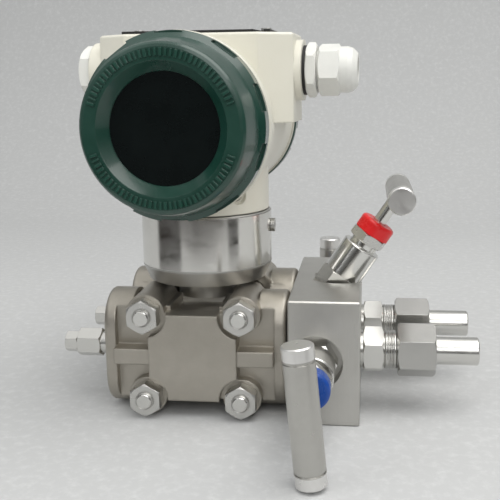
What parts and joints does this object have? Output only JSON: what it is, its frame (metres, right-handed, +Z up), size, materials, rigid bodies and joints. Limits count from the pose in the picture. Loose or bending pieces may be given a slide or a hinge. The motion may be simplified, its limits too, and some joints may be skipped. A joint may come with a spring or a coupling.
{
  "type": "differential pressure transmitter",
  "caption": "Pressure transmitter head with a round window, on flanges bolted to a three-valve manifold block with T-bar needle valves.",
  "frame": {"origin": "centre of the manifold block's underside", "axes": "+X from the transmitter to the impulse tubes, +Y to the back, away from the window, +Z up"},
  "size_m": [0.2419, 0.2678, 0.2179],
  "materials": {
    "block_steel": "fine brushed stainless steel",
    "cast_steel": "satin blasted stainless casting",
    "bright_steel": "polished stainless steel",
    "turned_steel": "fine turned stainless steel",
    "cream_paint": "cream powder coat, semi-gloss",
    "green_paint": "dark green enamel, glossy",
    "dark_glass": "dark glossy window",
    "black_rubber": "matt black rubber",
    "white_plastic": "white nylon, satin",
    "dark_plastic": "dark moulded plastic",
    "seal_plastic": "white sealing plastic",
    "blue_plastic": "blue plastic cap",
    "red_plastic": "red plastic cap",
    "black_plate": "thin black plate"
  },
  "bodies": {
    "base": {"manifold_block": "block_steel", "front_flange": "cast_steel", "rear_flange": "cast_steel", "sensor_body": "turned_steel", "band_screw": "turned_steel", "diaphragms": "turned_steel", "bracket_screws": "turned_steel", "nameplate_band": "bright_steel", "flange_bolts": "bright_steel", "flange_nuts": "bright_steel", "union_nuts": "bright_steel", "packing_nuts": "bright_steel", "front_bonnet": "bright_steel", "rear_bonnet": "bright_steel", "equalizing_bonnet": "bright_steel", "front_vent_body": "bright_steel", "rear_vent_body": "bright_steel", "front_adapter": "bright_steel", "rear_adapter": "bright_steel", "front_weld_nipple": "bright_steel", "rear_weld_nipple": "bright_steel", "port_seals": "seal_plastic", "capsule_gaskets": "seal_plastic", "valve_packings": "seal_plastic", "front_dust_cap": "blue_plastic", "rear_dust_cap": "blue_plastic", "equalizing_dust_cap": "red_plastic"},
    "head": {"housing": "cream_paint", "display_module": "dark_plastic", "terminal_block": "dark_plastic", "top_gasket": "black_rubber", "top_screws": "bright_steel", "conduit_plug": "white_plastic", "gland_washer": "black_rubber", "gland_body": "white_plastic", "set_screw": "turned_steel"},
    "plate": {"top_plate": "black_plate"},
    "zero_key": {"zero_button": "dark_plastic"},
    "span_key": {"span_button": "dark_plastic"},
    "cable_seal": {"gland_seal": "black_rubber"},
    "cable_nut": {"gland_nut": "white_plastic"},
    "front_ring": {"front_seal": "black_rubber"},
    "front_lid": {"front_cover": "green_paint", "window_glass": "dark_glass", "retainer_ring": "dark_plastic"},
    "rear_ring": {"rear_seal": "black_rubber"},
    "rear_lid": {"rear_cover": "green_paint"},
    "front_needle": {"front_needle_tip": "turned_steel"},
    "front_stem": {"front_spindle": "turned_steel", "front_handle": "bright_steel"},
    "rear_needle": {"rear_needle_tip": "turned_steel"},
    "rear_stem": {"rear_spindle": "turned_steel", "rear_handle": "bright_steel"},
    "equalizing_needle": {"equalizing_needle_tip": "turned_steel"},
    "equalizing_stem": {"equalizing_spindle": "turned_steel", "equalizing_handle": "bright_steel"},
    "front_ball": {"front_vent_ball": "turned_steel"},
    "front_plug": {"front_vent_plug": "bright_steel"},
    "rear_ball": {"rear_vent_ball": "turned_steel"},
    "rear_plug": {"rear_vent_plug": "bright_steel"}
  },
  "joints": [
    {"name": "housing_swivel", "type": "hinge", "parent": "base", "child": "head", "pos_m": [-0.0738, 0, 0.125], "axis": [0, 0, 1], "range_deg": [-175, 175]},
    {"name": "plate_swing", "type": "hinge", "parent": "head", "child": "plate", "pos_m": [-0.11175, 0.00199, 0.2159], "axis": [0, 0, 1], "range_deg": [0, 100]},
    {"name": "zero_press", "type": "slide", "parent": "head", "child": "zero_key", "axis": [0, 0, -1], "range_m": [0, 0.0018], "stiffness_N_per_m": 500, "springref_m": -0.001},
    {"name": "span_press", "type": "slide", "parent": "head", "child": "span_key", "axis": [0, 0, -1], "range_m": [0, 0.0018], "stiffness_N_per_m": 500, "springref_m": -0.001},
    {"name": "gland_nut_slide", "type": "slide", "parent": "head", "child": "cable_seal", "axis": [0.9986, -0.0523, 0], "range_m": [0, 0.003]},
    {"name": "gland_nut_turn", "type": "hinge", "parent": "cable_seal", "child": "cable_nut", "pos_m": [0.00459, -0.00411, 0.194], "axis": [0.9986, -0.0523, 0], "range_deg": [0, 720]},
    {"name": "front_cover_slide", "type": "slide", "parent": "head", "child": "front_ring", "axis": [-0.0523, -0.9986, 0], "range_m": [0, 0.01]},
    {"name": "front_cover_turn", "type": "hinge", "parent": "front_ring", "child": "front_lid", "pos_m": [-0.07694, -0.05992, 0.165], "axis": [-0.0523, -0.9986, 0], "range_deg": [0, 1800]},
    {"name": "rear_cover_slide", "type": "slide", "parent": "head", "child": "rear_ring", "axis": [0.0523, 0.9986, 0], "range_m": [0, 0.01]},
    {"name": "rear_cover_turn", "type": "hinge", "parent": "rear_ring", "child": "rear_lid", "pos_m": [-0.07082, 0.05692, 0.165], "axis": [0.0523, 0.9986, 0], "range_deg": [0, 1800]},
    {"name": "front_valve_slide", "type": "slide", "parent": "base", "child": "front_needle", "axis": [0, -1, 0], "range_m": [-0.008, 0]},
    {"name": "front_valve_turn", "type": "hinge", "parent": "front_needle", "child": "front_stem", "pos_m": [-0.005, -0.1, 0.036], "axis": [0, -1, 0], "range_deg": [-2880, 0]},
    {"name": "rear_valve_slide", "type": "slide", "parent": "base", "child": "rear_needle", "axis": [0, 1, 0], "range_m": [-0.008, 0]},
    {"name": "rear_valve_turn", "type": "hinge", "parent": "rear_needle", "child": "rear_stem", "pos_m": [-0.005, 0.1, 0.036], "axis": [0, 1, 0], "range_deg": [-2880, 0]},
    {"name": "equalizing_valve_slide", "type": "slide", "parent": "base", "child": "equalizing_needle", "axis": [0.5592, 0, 0.829], "range_m": [0, 0.008]},
    {"name": "equalizing_valve_turn", "type": "hinge", "parent": "equalizing_needle", "child": "equalizing_stem", "pos_m": [0.02437, 0, 0.0967], "axis": [0.5592, 0, 0.829], "range_deg": [0, 2880]},
    {"name": "front_vent_slide", "type": "slide", "parent": "base", "child": "front_ball", "axis": [-1, 0, 0], "range_m": [0, 0.002]},
    {"name": "front_vent_turn", "type": "hinge", "parent": "front_ball", "child": "front_plug", "pos_m": [-0.14, -0.027, 0.0355], "axis": [-1, 0, 0], "range_deg": [0, 720]},
    {"name": "rear_vent_slide", "type": "slide", "parent": "base", "child": "rear_ball", "axis": [-1, 0, 0], "range_m": [0, 0.002]},
    {"name": "rear_vent_turn", "type": "hinge", "parent": "rear_ball", "child": "rear_plug", "pos_m": [-0.14, 0.027, 0.0355], "axis": [-1, 0, 0], "range_deg": [0, 720]}
  ],
  "couplings": [
    {"joint": "gland_nut_slide", "follows": "gland_nut_turn", "m_per_rad": 0.00023873},
    {"joint": "front_cover_slide", "follows": "front_cover_turn", "m_per_rad": 0.00031831},
    {"joint": "rear_cover_slide", "follows": "rear_cover_turn", "m_per_rad": 0.00031831},
    {"joint": "front_valve_slide", "follows": "front_valve_turn", "m_per_rad": 0.00015915},
    {"joint": "rear_valve_slide", "follows": "rear_valve_turn", "m_per_rad": 0.00015915},
    {"joint": "equalizing_valve_slide", "follows": "equalizing_valve_turn", "m_per_rad": 0.00015915},
    {"joint": "front_vent_slide", "follows": "front_vent_turn", "m_per_rad": 0.00015915},
    {"joint": "rear_vent_slide", "follows": "rear_vent_turn", "m_per_rad": 0.00015915}
  ]
}
